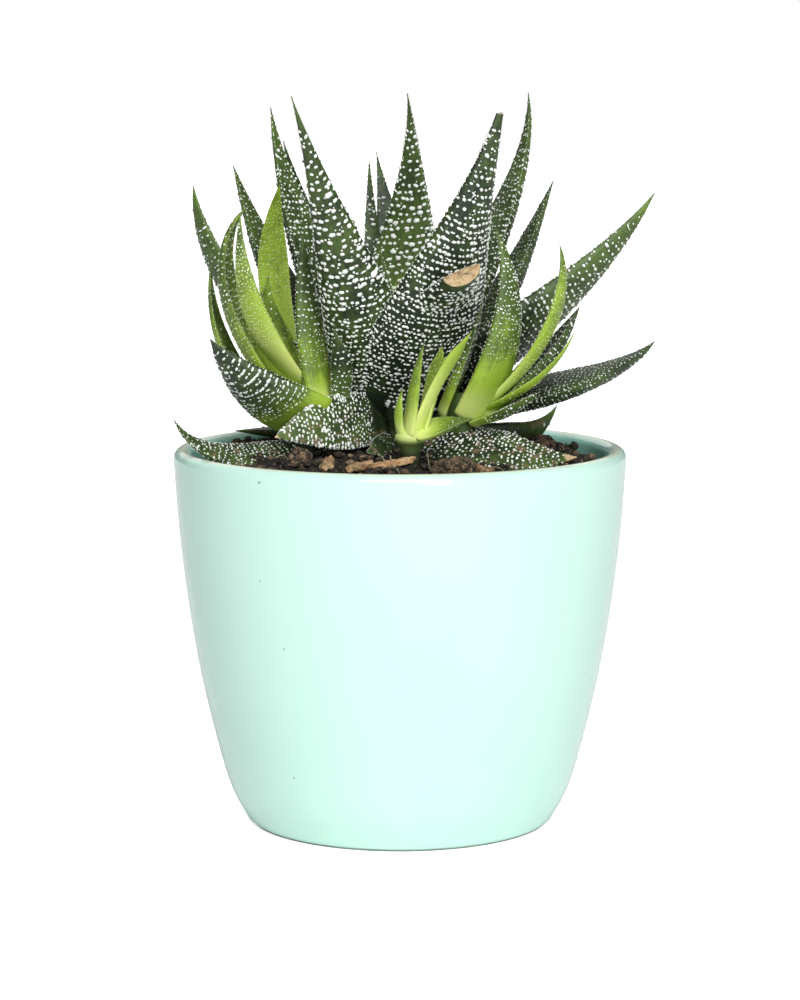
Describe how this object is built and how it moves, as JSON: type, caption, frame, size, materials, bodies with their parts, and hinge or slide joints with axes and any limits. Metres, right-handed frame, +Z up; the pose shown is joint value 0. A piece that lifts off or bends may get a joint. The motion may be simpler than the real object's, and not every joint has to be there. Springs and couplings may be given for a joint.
{
  "type": "potted haworthia",
  "caption": "Small rosette succulent with white-grained pointed leaves and pale green offsets, growing in dark soil in a round pale mint glazed cup.",
  "frame": {"origin": "middle of the pot's flat foot, on the surface that it stands on", "axes": "+Z up the pot's axis; the front, with the small front offset and the cut leaf, faces -Y; +X is to the right of someone looking at the front"},
  "size_m": [0.0955, 0.0948, 0.1449],
  "materials": {
    "glazed_pot": "gloss",
    "main_leaf": "satin",
    "offset_leaf": "satin",
    "young_leaf": "satin",
    "stem": "matte",
    "bark": "matte",
    "soil": "matte"
  },
  "bodies": {
    "root": {"pot": "glazed_pot", "main_stem": "stem", "left_offset_stem": "stem", "right_offset_stem": "stem", "front_offset_stem": "stem", "main_leaf_01": "main_leaf", "main_leaf_02": "main_leaf", "main_leaf_03": "main_leaf", "main_leaf_04": "main_leaf", "main_leaf_05": "main_leaf", "main_leaf_06": "main_leaf", "main_leaf_07": "main_leaf", "main_leaf_08": "main_leaf", "main_leaf_09": "main_leaf", "main_leaf_10": "main_leaf", "main_leaf_11": "main_leaf", "main_leaf_12": "main_leaf", "main_leaf_13": "main_leaf", "main_leaf_14": "main_leaf", "main_leaf_15": "main_leaf", "main_leaf_16": "main_leaf", "main_leaf_17": "main_leaf", "main_leaf_18": "main_leaf", "main_leaf_19": "main_leaf", "main_leaf_20": "main_leaf", "main_leaf_21": "main_leaf", "main_leaf_22": "main_leaf", "main_leaf_23": "main_leaf", "main_leaf_24": "main_leaf", "main_leaf_25": "main_leaf", "main_leaf_26": "main_leaf", "main_leaf_27": "main_leaf", "left_offset_leaf_01": "offset_leaf", "left_offset_leaf_02": "offset_leaf", "left_offset_leaf_03": "offset_leaf", "left_offset_leaf_04": "offset_leaf", "left_offset_leaf_05": "offset_leaf", "left_offset_leaf_06": "offset_leaf", "left_offset_leaf_07": "offset_leaf", "left_offset_leaf_08": "offset_leaf", "right_offset_leaf_01": "offset_leaf", "right_offset_leaf_02": "offset_leaf", "right_offset_leaf_03": "offset_leaf", "right_offset_leaf_04": "offset_leaf", "right_offset_leaf_05": "offset_leaf", "right_offset_leaf_06": "offset_leaf", "front_offset_leaf_01": "young_leaf", "front_offset_leaf_02": "young_leaf", "front_offset_leaf_03": "young_leaf", "front_offset_leaf_04": "young_leaf", "front_offset_leaf_05": "young_leaf", "bark_chip_1": "bark", "bark_chip_2": "bark", "bark_chip_3": "bark", "bark_chip_4": "bark", "soil_crumb_1": "soil", "soil_crumb_2": "soil", "soil_crumb_3": "soil", "soil": "soil"}
  },
  "joints": []
}
